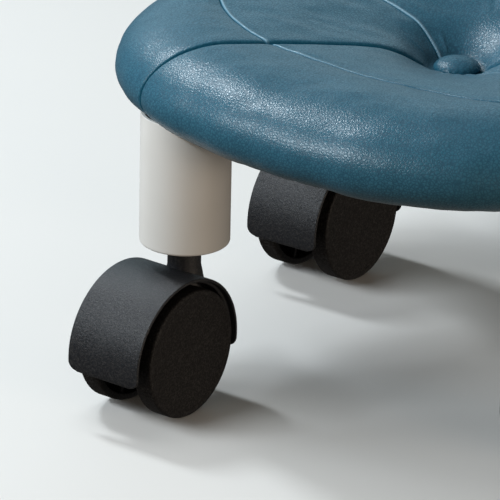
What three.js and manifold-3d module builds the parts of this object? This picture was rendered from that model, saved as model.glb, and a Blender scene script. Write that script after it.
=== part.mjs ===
// Low rolling stool: a tufted round-cornered cushion on four tube legs with hooded twin-wheel casters.
// Millimetres, +Z up, origin on the floor under the middle of the seat, legs on the diagonals.
import * as THREE from 'three';
import { mergeVertices } from 'three/addons/utils/BufferGeometryUtils.js';
import Module from 'manifold-3d';

const wasm = await Module();
wasm.setup();

// Clearances
const gap = 0.3;
const runningGap = 0.5;
const overrun = 1;

// Casters
const wheelDiameter = 50;
const treadWidth = 8;
const treadChamfer = 0.8;
const wheelRibCount = 5;
const wheelRibThickness = 1.6;
const wheelRibRecess = 1.2;
const rimThickness = 2.6;
const wheelWall = 2.4;
const faceProud = 0.8;
const hubDiameter = 13;
const axleDiameter = 6;
const hoodWidth = 33;
const hoodWall = 2.4;
const hoodWheelGap = 2;
const hoodTailExtra = 2.6;
const hoodEdgeRound = 0.5;
const hoodLipWall = 1.1;
const hoodLipDepth = 2.5;
const hoodTailDrop = 4.5;
const hoodFrontDrop = 6.5;
const hoodCornerRound = 3.5;
const webThickness = 7;
const axleBossDiameter = 13;
const swivelOffset = 17;
const neckDiameter = 12.8;
const neckBossDepth = 26;
const neckRise = 5.7;
const stemDiameter = 8;
const stemLength = 47;
const stemChamfer = 1;
const collarDiameter = 12.4;
const collarThickness = 0.8;
const gripRingHeight = 5;
const gripRingWall = 0.9;
const gripRingSlot = 1.6;

// Legs
const legInset = 17;
const legDiameter = 34.4;
const legWall = 1.5;
const legLength = 51.8;
const legRecess = 5.9;
const plugLength = 22;
const plugCoreDiameter = 16;
const plugRibThickness = 2.4;
const plugDiscThickness = 4;
const capThickness = 3;
const capDrop = 2;
const boltDiameter = 6;
const boltHeadAcross = 10;
const boltHeadHeight = 4;
const teeFlangeDiameter = 19;
const teeFlangeThickness = 1.5;
const teeBarrelDiameter = 9;

// Seat
const seatRadius = 125;
const cushionHeight = 33.5;
const skirtHeight = 14;
const skirtReach = 22;
const shoulderReach = 31;
const coverThickness = 1.2;
const foldWidth = 12;
const foamToe = 2.6;
const baseThickness = 9.3;
const dishRadius = 105;
const dishDepth = 13.9;
const tuftDepth = 7.3;
const tuftReach = 21;
const seamHalfWidth = 2.2;
const seamDepth = 1.4;
const buttonDiameter = 17.8;
const buttonHeight = 4.6;
const buttonEdgeHeight = 1.6;
const buttonBoltDiameter = 4;
const buttonNutDiameter = 12;
const buttonNutThickness = 2.4;
const dustCoverThickness = 0.8;
const dustCoverLap = 6;
const dustCoverLegGap = 1.5;

// Directions, degrees from +X
const legTurn = 45;
const trailTurns = [78.3, 259.7, 258.3, 79.7];
const lobeTurn = 29.2;
const tuftTurn = 298;
const lineTurn = 145;
const crossTurn = 80;

// Plan shape of the cushion and its seams, as shares of the rim radius
const lobeShare = 0.034;
const lobeCount = 4;
const dishPower = 1.5;
const tuftOvalShare = 0.5;
const arcTurns = [0, 16, 30, 42, 52, 67, 85, 107, 131, 140, 152, 167, 180];
const arcShares = [0.98, 0.93, 0.84, 0.77, 0.71, 0.643, 0.585, 0.554, 0.56, 0.575, 0.645, 0.77, 0.98];
const craterShares = [1, 1.6, 2.5, 4];
const innerShares = [0.3, 0.64];
const outerShares = [0.3, 0.55, 0.78, 1];
const skirtShares = [0.34, 0.68, 1];
const liningInnerShares = [0.5];
const liningOuterShares = [0.5, 1];
const liningSkirtShares = [0.5, 1];
const arcEaseShare = 0.3;
const seamLeanShare = 0.45;

// Facets
const roundSteps = 24;
const tubeSteps = 32;
const smallSteps = 14;
const rimSteps = 40;
const domeSteps = 4;
const columnTurn = 14;

// Levels that follow from the sizes
const wheelRadius = wheelDiameter / 2;
const hoodInnerRise = wheelRadius + hoodWheelGap;
const hoodRise = hoodInnerRise + hoodWall;
const neckTop = wheelRadius + hoodRise + neckRise;
const casterHeight = neckTop + collarThickness + 2 * gap;
const legCircleRadius = seatRadius - legInset;
const legTop = casterHeight + legLength;
const baseBottom = legTop + gap - legRecess;
const baseTop = baseBottom + baseThickness;
const foldBottom = baseBottom - gap - coverThickness;
const equator = foldBottom + skirtHeight;
const crownTop = foldBottom + cushionHeight;
const buttonRadius = buttonDiameter / 2;
const buttonBoltRadius = buttonBoltDiameter / 2;

const degrees = Math.PI / 180;

// Materials
function paint(color, roughness, metalness = 0) {
  return new THREE.MeshStandardMaterial({ color, roughness, metalness });
}
const leather = paint('#3f6d84', 0.5);
const foam = paint('#e8dfc6', 0.95);
const plywood = paint('#b98f5e', 0.8);
const satinPaint = paint('#d8dadb', 0.35);
const steel = paint('#b4b7bb', 0.35, 0.9);
const blackNylon = paint('#1e1d1f', 0.55);
const wheelNylon = paint('#191817', 0.5);
const greyPlastic = paint('#6d6f72', 0.6);
const blackFelt = paint('#1b1b1d', 0.95);

// Closed surfaces: shared corners merged, and triangles that a pole has collapsed left out
function weld(geometry) {
  const bare = geometry.clone();
  bare.deleteAttribute('normal');
  bare.deleteAttribute('uv');
  const merged = mergeVertices(bare);
  const index = merged.getIndex().array;
  const kept = [];
  for (let i = 0; i < index.length; i += 3) {
    const [a, b, c] = [index[i], index[i + 1], index[i + 2]];
    if (a !== b && b !== c && c !== a) kept.push(a, b, c);
  }
  merged.setIndex(kept);
  return merged;
}

function toSolid(geometry) {
  const welded = weld(geometry);
  const vertProperties = new Float32Array(welded.getAttribute('position').array);
  const triVerts = new Uint32Array(welded.getIndex().array);
  return new wasm.Manifold(new wasm.Mesh({ numProp: 3, vertProperties, triVerts }));
}

function toGeometry(solid) {
  const mesh = solid.getMesh();
  const geometry = new THREE.BufferGeometry();
  geometry.setAttribute('position', new THREE.BufferAttribute(new Float32Array(mesh.vertProperties), 3));
  geometry.setIndex(new THREE.BufferAttribute(new Uint32Array(mesh.triVerts), 1));
  return geometry;
}

function piece(name, geometry, material) {
  const mesh = new THREE.Mesh(weld(geometry), material);
  mesh.name = name;
  return mesh;
}

// An upright cylinder between two levels
function rod(radius, bottom, top, steps = roundSteps, x = 0, y = 0) {
  const height = top - bottom;
  return new THREE.CylinderGeometry(radius, radius, height, steps)
    .rotateX(Math.PI / 2)
    .translate(x, y, bottom + height / 2);
}

// A turned shape about Z from [radius, level] pairs, listed from its lowest end outwards and up
function turned(profile, steps = roundSteps) {
  const points = profile.map(([radius, level]) => new THREE.Vector2(radius, level));
  return new THREE.LatheGeometry(points, steps).rotateX(Math.PI / 2);
}

// A surface of rings of equal length, joined ring to ring and the last to the first, with each
// patch folded along its shorter diagonal
function ringBody(rings) {
  const count = rings[0].length;
  const positions = rings.flat().flatMap((point) => [point.x, point.y, point.z]);
  const index = [];
  rings.forEach((ring, i) => {
    const other = rings[(i + 1) % rings.length];
    const next = ((i + 1) % rings.length) * count;
    const here = i * count;
    for (let j = 0; j < count; j += 1) {
      const k = (j + 1) % count;
      if (ring[j].distanceTo(other[k]) <= ring[k].distanceTo(other[j])) {
        index.push(here + j, next + k, next + j);
        index.push(here + j, here + k, next + k);
      } else {
        index.push(here + j, here + k, next + j);
        index.push(here + k, next + k, next + j);
      }
    }
  });
  const geometry = new THREE.BufferGeometry();
  geometry.setAttribute('position', new THREE.Float32BufferAttribute(positions, 3));
  geometry.setIndex(index);
  return geometry;
}

// Cushion form. Stations run from 0 at the button over the crown to 1 at the shoulder, 2 at the
// equator, 3 at the end of the drawn-in skirt and 4 at the edge of the fold under the seat.
function rimRadius(angle) {
  return seatRadius * (1 + lobeShare * Math.cos(lobeCount * (angle - lobeTurn * degrees)));
}

// Level of the crown: a wide dish, and an oval hollow that the button draws in
function crownLevel(radius, angle) {
  const dish = Math.max(0, 1 - Math.max(radius, buttonRadius) / dishRadius);
  const reach = tuftReach * (1 + tuftOvalShare * Math.cos(2 * (angle - tuftTurn * degrees)));
  const fromButton = Math.max(0, radius - buttonRadius) / reach;
  return crownTop - dishDepth * dish ** dishPower - tuftDepth * Math.exp(-(fromButton ** 2));
}

function station(at, angle) {
  const rim = rimRadius(angle);
  const shoulder = rim - shoulderReach;
  const edgeDrop = crownLevel(shoulder, angle) - equator;
  if (at <= 1) {
    const radius = at * shoulder;
    const level = crownLevel(radius, angle);
    const rise = crownLevel(radius + gap, angle) - level;
    return { radius, level, out: new THREE.Vector2(-rise, gap).normalize() };
  }
  if (at <= 2) {
    const swing = (at - 1) * 90 * degrees;
    const out = new THREE.Vector2(Math.sin(swing) / shoulderReach, Math.cos(swing) / edgeDrop);
    const level = equator + edgeDrop * Math.cos(swing);
    return { radius: shoulder + shoulderReach * Math.sin(swing), level, out: out.normalize() };
  }
  if (at <= 3) {
    const swing = (at - 2) * 90 * degrees;
    const out = new THREE.Vector2(Math.cos(swing) / skirtReach, -Math.sin(swing) / skirtHeight);
    const radius = rim - skirtReach * (1 - Math.cos(swing));
    return { radius, level: equator - skirtHeight * Math.sin(swing), out: out.normalize() };
  }
  const radius = rim - skirtReach - (at - 3) * foldWidth;
  return { radius, level: foldBottom, out: new THREE.Vector2(0, -1) };
}

function stationOfRadius(radius, angle) {
  const shoulder = rimRadius(angle) - shoulderReach;
  if (radius <= shoulder) return radius / shoulder;
  return 1 + Math.asin((radius - shoulder) / shoulderReach) / (90 * degrees);
}

// How far one step of the surface is in stations, for a length laid across it
function stationStep(at, angle, length) {
  const rim = rimRadius(angle);
  const shoulder = rim - shoulderReach;
  const bend = (Math.PI / 4) * (shoulderReach + crownLevel(shoulder, angle) - equator);
  return length / (at < 1 ? shoulder : bend);
}

function cushionPoint(at, angle, depth) {
  const { radius, level, out } = station(at, angle);
  const reach = radius - out.x * depth;
  return new THREE.Vector3(reach * Math.cos(angle), reach * Math.sin(angle), level - out.y * depth);
}

// The curved seam: shares of the rim radius, alike in both halves of the cushion
function arcSeamRadius(angle) {
  const turn = THREE.MathUtils.euclideanModulo(angle / degrees - lineTurn, 180);
  const upper = Math.max(1, arcTurns.findIndex((value) => value >= turn));
  const even = THREE.MathUtils.inverseLerp(arcTurns[upper - 1], arcTurns[upper], turn);
  const eased = THREE.MathUtils.smoothstep(turn, arcTurns[upper - 1], arcTurns[upper]);
  const along = THREE.MathUtils.lerp(even, eased, arcEaseShare);
  return THREE.MathUtils.lerp(arcShares[upper - 1], arcShares[upper], along) * rimRadius(angle);
}

// Columns of the cushion surface: three for each straight seam, and even ones between them
function cushionColumns() {
  const columns = [];
  const spans = [crossTurn, 180 - crossTurn, crossTurn, 180 - crossTurn];
  let turn = lineTurn;
  spans.forEach((span) => {
    [-1, 0, 1].forEach((side) => columns.push({ turn, side }));
    const count = Math.round(span / columnTurn);
    for (let i = 1; i < count; i += 1) columns.push({ turn: turn + (span * i) / count, side: null });
    turn += span;
  });
  return columns;
}

function columnAngle({ turn, side }, radius) {
  const lean = Math.min(seamHalfWidth / radius, seamLeanShare * columnTurn * degrees);
  return turn * degrees + (side ?? 0) * lean;
}

// The face has three rows at the curved seam; the lining has one, where the sewn edges lie under it
const face = { inner: innerShares, seamSides: [-1, 0, 1], outer: outerShares, skirt: skirtShares };
const lining = {
  inner: liningInnerShares, seamSides: [0], outer: liningOuterShares, skirt: liningSkirtShares,
};
const columns = cushionColumns();

// Stations of one column from the bolt's hole outwards to the edge of the fold
function columnStations(column, layer) {
  const angle = column.turn * degrees;
  const shoulder = rimRadius(angle) - shoulderReach;
  const seam = stationOfRadius(arcSeamRadius(angle), angle);
  const half = stationStep(seam, angle, seamHalfWidth);
  const hole = (buttonBoltRadius + runningGap) / shoulder;
  const crater = craterShares.map((share) => (share * buttonRadius) / shoulder);
  const craterEnd = crater[crater.length - 1];
  const inner = layer.inner.map((share) => THREE.MathUtils.lerp(craterEnd, seam - half, share));
  const sides = layer.seamSides.map((side) => seam + side * half);
  const outer = layer.outer.map((share) => THREE.MathUtils.lerp(seam + half, 2, share));
  const skirt = layer.skirt.map((share) => 2 + share);
  return [hole, ...crater, ...inner, ...sides, ...outer, ...skirt, 4];
}

function arcRow(layer) {
  return 1 + craterShares.length + layer.inner.length + (layer.seamSides.length - 1) / 2;
}

// The rings of one layer of the cushion at a given depth below its face
function cushionRings(layer, depth) {
  const stations = columns.map((column) => columnStations(column, layer));
  return stations[0].map((_, row) => columns.map((column, i) => {
    const at = stations[i][row];
    const { radius } = station(at, column.turn * degrees);
    const onLine = column.side === 0 && at < 3;
    const onArc = row === arcRow(layer);
    const fade = THREE.MathUtils.smoothstep(radius, buttonRadius, 2 * buttonRadius);
    const groove = onLine || onArc ? seamDepth * fade : 0;
    return cushionPoint(at, columnAngle(column, radius), depth + groove);
  }));
}

function seatCover() {
  const outside = cushionRings(face, 0);
  const inside = cushionRings(lining, coverThickness).reverse();
  return toSolid(ringBody([...outside, ...inside].reverse()));
}

// The foam fills the lining from beside the button to the equator
function foamPad() {
  const depth = coverThickness + gap;
  const rings = cushionRings(lining, depth);
  const top = rings.slice(2, rings.length - lining.skirt.length - 1);
  const floor = baseTop + gap;
  const drop = (ring) => ring.map((point) => new THREE.Vector3(point.x, point.y, floor));
  const toe = columns.map((column) => {
    const angle = columnAngle(column, seatRadius);
    return cushionPoint(2, angle, depth + foamToe + (column.side === 0 ? seamDepth : 0));
  });
  return ringBody([...top, drop(toe), drop(top[0])].reverse());
}

// The squircle outline of the seat drawn in by a distance
function planRing(inset, level) {
  return Array.from({ length: rimSteps }, (_, i) => {
    const angle = (i / rimSteps) * 2 * Math.PI;
    const radius = rimRadius(angle) - inset;
    return new THREE.Vector3(radius * Math.cos(angle), radius * Math.sin(angle), level);
  });
}

function planSlab(rings) {
  const close = (ring) => ring.map((point) => new THREE.Vector3(0, 0, point.z));
  return ringBody([close(rings[0]), ...rings, close(rings[rings.length - 1])]);
}

const corners = ['rear_right', 'rear_left', 'front_left', 'front_right'];
const legSpots = corners.map((corner, i) => {
  const angle = (legTurn + 90 * i) * degrees;
  return { x: legCircleRadius * Math.cos(angle), y: legCircleRadius * Math.sin(angle) };
});

// The same upright hole at every leg
function atLegs(radius, bottom, top, steps = roundSteps) {
  return legSpots.map(({ x, y }) => toSolid(rod(radius, bottom, top, steps, x, y)));
}

function cutAll(solid, cutters) {
  return cutters.reduce((left, cutter) => left.subtract(cutter), solid);
}

// The plywood follows the inside of the skirt, clear of the seams sewn into it
function seatBase() {
  const depth = coverThickness + gap;
  const ringAt = (at, under) => columns.map(({ turn }) => cushionPoint(at, turn * degrees, under));
  const edge = lining.skirt.slice(0, -1).reverse().map((share) => ringAt(2 + share, depth + seamDepth));
  const top = ringAt(2, depth + seamDepth + foamToe).map(({ x, y }) => new THREE.Vector3(x, y, baseTop));
  const slab = toSolid(planSlab([ringAt(3, depth), ...edge, top]));
  const nutPocket = rod(
    buttonNutDiameter / 2 + gap, baseBottom - overrun, baseBottom + buttonNutThickness + 2 * gap, smallSteps,
  );
  const cutters = [
    ...atLegs(legDiameter / 2 + gap, baseBottom - overrun, legTop + gap),
    ...atLegs(teeBarrelDiameter / 2 + gap, baseBottom, baseTop + overrun, smallSteps),
    ...atLegs(teeFlangeDiameter / 2 + gap, baseTop - teeFlangeThickness - gap, baseTop + overrun, smallSteps),
    toSolid(rod(buttonBoltRadius + gap, baseBottom - overrun, baseTop + overrun, smallSteps)),
    toSolid(nutPocket),
  ];
  return toGeometry(cutAll(slab, cutters));
}

function dustCover() {
  const top = foldBottom - gap;
  const bottom = top - dustCoverThickness;
  const inset = skirtReach + foldWidth - dustCoverLap;
  const sheet = toSolid(planSlab([planRing(inset, bottom), planRing(inset, top)]));
  const legHoles = atLegs(legDiameter / 2 + dustCoverLegGap, bottom - overrun, top + overrun);
  return toGeometry(cutAll(sheet, legHoles));
}

function seatButton() {
  const bottom = crownLevel(0, 0) + gap;
  const dome = [];
  for (let i = 0; i <= domeSteps; i += 1) {
    const swing = (i / domeSteps) * 90 * degrees;
    dome.push([
      buttonRadius * Math.cos(swing),
      bottom + buttonEdgeHeight + (buttonHeight - buttonEdgeHeight) * Math.sin(swing),
    ]);
  }
  dome[dome.length - 1][0] = 0;
  const shankTop = bottom + buttonHeight / 2;
  return turned([
    [0, shankTop], [buttonBoltRadius + gap, shankTop], [buttonBoltRadius + gap, bottom],
    [buttonRadius - buttonEdgeHeight, bottom], ...dome,
  ]);
}

function seat() {
  const group = new THREE.Group();
  const notches = atLegs(legDiameter / 2 + gap, foldBottom - overrun, legTop + gap);
  group.add(piece('seat_cover', toGeometry(cutAll(seatCover(), notches)), leather));
  group.add(piece('foam_pad', foamPad(), foam));
  group.add(piece('seat_base', seatBase(), plywood));
  group.add(piece('seat_button', seatButton(), leather));
  group.add(piece('dust_cover', dustCover(), blackFelt));
  const nutBottom = baseBottom + gap;
  const nutTop = nutBottom + buttonNutThickness;
  const boltTop = crownLevel(0, 0) + buttonHeight / 2;
  group.add(piece('button_bolt', rod(buttonBoltRadius, nutBottom, boltTop, smallSteps), steel));
  const nutBore = buttonBoltRadius + gap;
  const nutOuter = buttonNutDiameter / 2;
  const nut = turned([
    [nutBore, nutBottom], [nutOuter, nutBottom], [nutOuter, nutTop], [nutBore, nutTop], [nutBore, nutBottom],
  ], smallSteps);
  group.add(piece('button_nut', nut, steel));
  return group;
}

// One leg, built about its own axis
function leg(corner) {
  const group = new THREE.Group();
  const outer = legDiameter / 2;
  const bore = outer - legWall;
  const tube = turned([
    [bore, casterHeight], [outer - legWall / 2, casterHeight], [outer, casterHeight + legWall / 2],
    [outer, legTop], [bore, legTop], [bore, casterHeight],
  ], tubeSteps);
  group.add(piece(`${corner}_leg_tube`, tube, satinPaint));

  const capTop = legTop - capDrop;
  const capBottom = capTop - capThickness;
  const boltRadius = boltDiameter / 2;
  const cap = turned([
    [boltRadius + gap, capBottom], [bore - gap, capBottom], [bore - gap, capTop],
    [boltRadius + gap, capTop], [boltRadius + gap, capBottom],
  ], smallSteps);
  group.add(piece(`${corner}_leg_cap`, cap, steel));

  const headTop = capBottom - gap;
  const headBottom = headTop - boltHeadHeight;
  const head = rod(boltHeadAcross / Math.sqrt(3), headBottom, headTop, 6);
  const boltTop = baseTop - teeFlangeThickness;
  const bolt = toSolid(head).add(toSolid(rod(boltRadius, headBottom + gap, boltTop, smallSteps)));
  group.add(piece(`${corner}_leg_bolt`, toGeometry(bolt), steel));

  const flangeTop = baseTop;
  const flangeBottom = flangeTop - teeFlangeThickness;
  const barrelBottom = legTop + 2 * gap;
  const nutBore = boltRadius + gap;
  const tee = turned([
    [nutBore, barrelBottom], [teeBarrelDiameter / 2, barrelBottom], [teeBarrelDiameter / 2, flangeBottom],
    [teeFlangeDiameter / 2, flangeBottom], [teeFlangeDiameter / 2, flangeTop], [nutBore, flangeTop],
    [nutBore, barrelBottom],
  ], smallSteps);
  group.add(piece(`${corner}_tee_nut`, tee, steel));

  group.add(piece(`${corner}_leg_plug`, legPlug(bore - gap), greyPlastic));
  return group;
}

// The plug in the tube's foot: an end disc, a core with the stem's socket and four ribs
function legPlug(radius) {
  const bottom = casterHeight + gap;
  const top = bottom + plugLength;
  const disc = toSolid(rod(radius, bottom, bottom + plugDiscThickness));
  const core = toSolid(rod(plugCoreDiameter / 2, bottom, top, smallSteps));
  const ribLength = 2 * (radius - gap);
  const ribs = [0, 90].map((turn) => toSolid(
    new THREE.BoxGeometry(ribLength, plugRibThickness, plugLength - overrun)
      .rotateZ(turn * degrees)
      .translate(0, 0, bottom + (plugLength - overrun) / 2),
  ));
  const socket = rod(gripRingOuter() + gap, bottom - overrun, top + overrun, smallSteps);
  return toGeometry(disc.add(core).add(ribs[0]).add(ribs[1]).subtract(toSolid(socket)));
}

function gripRingOuter() {
  return stemDiameter / 2 + gap + gripRingWall;
}

// What stays with the leg when the caster swivels: the stem with its collar, and the grip ring
function stem(corner) {
  const group = new THREE.Group();
  const radius = stemDiameter / 2;
  const bottom = casterHeight + plugLength - stemLength;
  const top = casterHeight + plugLength - gap;
  const collarTop = casterHeight - gap;
  const collarBottom = collarTop - collarThickness;
  const body = turned([
    [0, bottom], [radius, bottom], [radius, collarBottom], [collarDiameter / 2, collarBottom],
    [collarDiameter / 2, collarTop], [radius, collarTop], [radius, top - stemChamfer],
    [radius - stemChamfer, top], [0, top],
  ], smallSteps);
  group.add(piece(`${corner}_caster_stem`, body, steel));

  const ringBottom = casterHeight + plugLength - 2 * gripRingHeight;
  const inner = radius + gap;
  const ringTop = ringBottom + gripRingHeight;
  const outer = gripRingOuter();
  const ring = toSolid(turned([
    [inner, ringBottom], [outer, ringBottom], [outer, ringTop], [inner, ringTop], [inner, ringBottom],
  ], smallSteps));
  const slot = new THREE.BoxGeometry(outer, gripRingSlot, gripRingHeight + 2 * overrun)
    .translate((outer + gripRingSlot) / 2, 0, (ringBottom + ringTop) / 2);
  group.add(piece(`${corner}_grip_ring`, toGeometry(ring.subtract(toSolid(slot))), steel));
  return group;
}

// Side outline of the hood drawn in by a distance, in the plane of the trail and the height.
// The arch reaches further behind the axle than before it.
function hoodArch(inset, startTurn, endTurn) {
  const middle = swivelOffset + hoodTailExtra / 2;
  const reach = hoodRise + hoodTailExtra / 2 - inset;
  const shape = new THREE.Shape();
  const rise = hoodRise - inset;
  shape.absellipse(middle, wheelRadius, reach, rise, startTurn * degrees, endTurn * degrees, false, 0);
  return shape;
}

// What is cut from a lower corner of the hood, seen along the trail: the square less its round
function cornerCut(side, dropLevel, start, end) {
  const edge = hoodWidth / 2;
  const inner = edge - hoodCornerRound;
  const top = dropLevel + hoodCornerRound;
  const shape = new THREE.Shape();
  shape.moveTo(inner, dropLevel - overrun);
  shape.lineTo(edge + overrun, dropLevel - overrun);
  shape.lineTo(edge + overrun, top);
  shape.lineTo(edge, top);
  shape.absarc(inner, top, hoodCornerRound, 0, -90 * degrees, true);
  shape.closePath();
  const block = new THREE.ExtrudeGeometry(shape, {
    depth: end - start, curveSegments: domeSteps, bevelEnabled: false,
  }).rotateX(90 * degrees).rotateZ(90 * degrees).translate(start, 0, 0);
  return side > 0 ? block : block.rotateZ(180 * degrees).translate(start + end, 0, 0);
}

function casterHood(corner) {
  const tailTurn = Math.asin(hoodTailDrop / hoodRise) / degrees;
  const frontTurn = Math.asin(hoodFrontDrop / hoodRise) / degrees;
  const outline = hoodArch(hoodEdgeRound, -tailTurn, 180 + frontTurn);
  outline.closePath();
  const body = toSolid(new THREE.ExtrudeGeometry(outline, {
    depth: hoodWidth - 2 * hoodEdgeRound, curveSegments: roundSteps, bevelEnabled: true,
    bevelThickness: hoodEdgeRound, bevelSize: hoodEdgeRound, bevelSegments: 1,
  }).translate(0, 0, -(hoodWidth - 2 * hoodEdgeRound) / 2).rotateX(Math.PI / 2));

  const neck = toSolid(rod(neckDiameter / 2, neckTop - neckBossDepth, neckTop, roundSteps));
  const boss = toSolid(sideDisc(axleBossDiameter / 2, webThickness));
  const bay = (side, wall, from) => {
    const room = new THREE.ExtrudeGeometry(hoodArch(wall, 0, 360), {
      depth: hoodWidth, curveSegments: roundSteps, bevelEnabled: false,
    });
    return toSolid(room.translate(0, 0, side > 0 ? from : -from - hoodWidth).rotateX(Math.PI / 2));
  };
  const tailLevel = wheelRadius - hoodTailDrop;
  const frontLevel = wheelRadius - hoodFrontDrop;
  const tail = [swivelOffset + axleBossDiameter / 2, swivelOffset + 2 * hoodRise];
  const front = [swivelOffset - 2 * hoodRise, swivelOffset - axleBossDiameter / 2];
  const cuts = [-1, 1].flatMap((side) => [
    bay(side, hoodWall, webThickness / 2),
    bay(side, hoodLipWall, hoodWidth / 2 - hoodLipDepth),
    toSolid(cornerCut(side, tailLevel, ...tail)),
    toSolid(cornerCut(side, frontLevel, ...front)),
  ]);
  const bore = toSolid(sideDisc(axleDiameter / 2 + gap, hoodWidth));
  const socketBottom = casterHeight + plugLength - stemLength - gap;
  const socket = toSolid(rod(stemDiameter / 2 + gap, socketBottom, neckTop + overrun, smallSteps));
  const solid = cutAll(body, cuts).add(boss).add(neck).subtract(bore).subtract(socket);
  return piece(`${corner}_caster_hood`, toGeometry(solid), blackNylon);
}

// A disc on the axle, centred between the wheels
function sideDisc(radius, width) {
  return new THREE.CylinderGeometry(radius, radius, width, smallSteps)
    .translate(swivelOffset, 0, wheelRadius);
}

// One wheel: flat outer face, tread with an eased outer edge, and a ribbed inner side with its hub
function wheelShape() {
  const face = hoodWidth / 2 + faceProud;
  const inner = face - treadWidth;
  const hubEnd = webThickness / 2 + runningGap;
  const bore = axleDiameter / 2 + gap;
  const boreEnd = face - wheelWall - gap;
  const rimInner = wheelRadius - rimThickness;
  const body = toSolid(turned([
    [bore, hubEnd], [hubDiameter / 2, hubEnd], [hubDiameter / 2, face - wheelWall],
    [rimInner, face - wheelWall], [rimInner, inner], [wheelRadius, inner],
    [wheelRadius, face - treadChamfer], [wheelRadius - treadChamfer, face], [0, face],
    [0, boreEnd], [bore, boreEnd], [bore, hubEnd],
  ]));
  const ribStart = hubDiameter / 2 - wheelRibThickness / 2;
  const ribEnd = rimInner + rimThickness / 2;
  const ribFoot = inner + wheelRibRecess;
  const ribTop = face - wheelWall / 2;
  const ribs = Array.from({ length: wheelRibCount }, (_, i) => toSolid(
    new THREE.BoxGeometry(ribEnd - ribStart, wheelRibThickness, ribTop - ribFoot)
      .translate((ribStart + ribEnd) / 2, 0, (ribFoot + ribTop) / 2)
      .rotateZ((i / wheelRibCount) * 360 * degrees),
  ));
  return toGeometry(ribs.reduce((whole, rib) => whole.add(rib), body));
}

function wheels(corner) {
  const group = new THREE.Group();
  [['left', -1], ['right', 1]].forEach(([side, sign]) => {
    const wheel = piece(`${corner}_wheel_${side}`, wheelShape(), wheelNylon);
    wheel.rotation.x = sign * 90 * degrees;
    wheel.position.set(swivelOffset, 0, wheelRadius);
    group.add(wheel);
  });
  return group;
}

function caster(corner) {
  const group = new THREE.Group();
  group.add(casterHood(corner));
  const axleHalf = hoodWidth / 2 + faceProud - wheelWall - 2 * gap;
  const axle = new THREE.CylinderGeometry(axleDiameter / 2, axleDiameter / 2, 2 * axleHalf, smallSteps)
    .translate(swivelOffset, 0, wheelRadius);
  group.add(piece(`${corner}_axle`, axle, steel));
  group.add(wheels(corner));
  return group;
}

const stool = new THREE.Group();
stool.add(seat());
corners.forEach((corner, i) => {
  const support = new THREE.Group();
  support.position.set(legSpots[i].x, legSpots[i].y, 0);
  support.add(leg(corner));
  support.add(stem(corner));
  const swivel = caster(corner);
  swivel.rotation.z = trailTurns[i] * degrees;
  support.add(swivel);
  stool.add(support);
});

export default stool;
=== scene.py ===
# Low rolling stool: a tufted leather cushion on four tube legs with hooded twin-wheel casters.
# Metres, +Z up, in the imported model's own frame.
from math import asin, cos, pi, radians, sin, sqrt, tan

import bmesh
import bpy
import numpy as np
from mathutils import Matrix, Vector


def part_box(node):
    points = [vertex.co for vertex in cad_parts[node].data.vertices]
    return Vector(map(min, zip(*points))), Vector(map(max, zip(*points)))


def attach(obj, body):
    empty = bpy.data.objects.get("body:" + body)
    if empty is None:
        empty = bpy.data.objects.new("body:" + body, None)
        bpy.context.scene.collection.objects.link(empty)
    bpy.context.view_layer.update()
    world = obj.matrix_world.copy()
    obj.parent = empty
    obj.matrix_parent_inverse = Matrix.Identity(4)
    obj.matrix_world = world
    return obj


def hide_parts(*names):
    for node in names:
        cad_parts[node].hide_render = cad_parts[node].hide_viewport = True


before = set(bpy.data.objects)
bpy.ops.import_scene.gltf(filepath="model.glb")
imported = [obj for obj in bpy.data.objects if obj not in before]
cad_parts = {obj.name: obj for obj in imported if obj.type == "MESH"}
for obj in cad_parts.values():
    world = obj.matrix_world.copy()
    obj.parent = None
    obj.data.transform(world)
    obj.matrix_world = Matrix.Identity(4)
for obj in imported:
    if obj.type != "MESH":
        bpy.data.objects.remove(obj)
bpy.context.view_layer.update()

mm = 0.001
turn = 2 * pi
seed = 7

# Camera, as fitted to the photograph: where it looks, how far away it stands, and its lens
photo_pixels = 500
focal_pixels = 5452
sensor_width = 36
camera_distance = 2093 * mm
camera_aim = Vector((-69.60, -32.75, 42.88)) * mm
camera_azimuth = radians(25.2)
camera_elevation = radians(22.36)
camera_roll = radians(1.18)

# Clearances
gap = 0.3 * mm
running_gap = 0.5 * mm
overrun = 1 * mm

# Cushion
seat_radius = 125 * mm
cushion_height = 33.5 * mm
skirt_height = 14 * mm
skirt_reach = 22 * mm
shoulder_reach = 31 * mm
leather_wall = 1.2 * mm
fold_width = 12 * mm
foam_toe = 3.4 * mm
dish_radius = 105 * mm
dish_depth = 13.9 * mm
dish_power = 1.5
tuft_depth = 7.3 * mm
tuft_reach = 21 * mm
tuft_side_share = 0.5
tuft_turn = radians(298)
button_radius = 8.9 * mm
button_height = 4.8 * mm
button_edge = 0.6 * mm
button_steps = 24
# Painted shade on the button's lower part: the share of its height it covers, and how dark it is at
# the foot
button_shade = 0.65
button_dark = 0.7
button_gather_start, button_gather_length = 0.8, 0.2
button_gather_depth = 0.012
button_gather_count, button_drift_count = 22, 3
button_bore = 2.3 * mm
bolt_hole = 2.5 * mm
lobe_share = 0.034
lobe_count = 4
lobe_turn = radians(29.2)
line_turns = np.radians([154, 225, 334, 405])
line_swings = np.radians([-3, 0, -3, -38])
swing_start = 13 * mm
swing_end = 48 * mm
open_lines = [1, 3]
lap_lines = [0, 2]

# The curved seam: degrees past its start, and shares of the rim's radius there
arc_start = radians(145)
arc_turns = [0, 16, 30, 42, 52, 67, 85, 107, 131, 140, 152, 167, 180]
arc_shares = [0.98, 0.93, 0.84, 0.77, 0.71, 0.643, 0.585, 0.554, 0.56, 0.575, 0.645, 0.77, 0.98]
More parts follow.
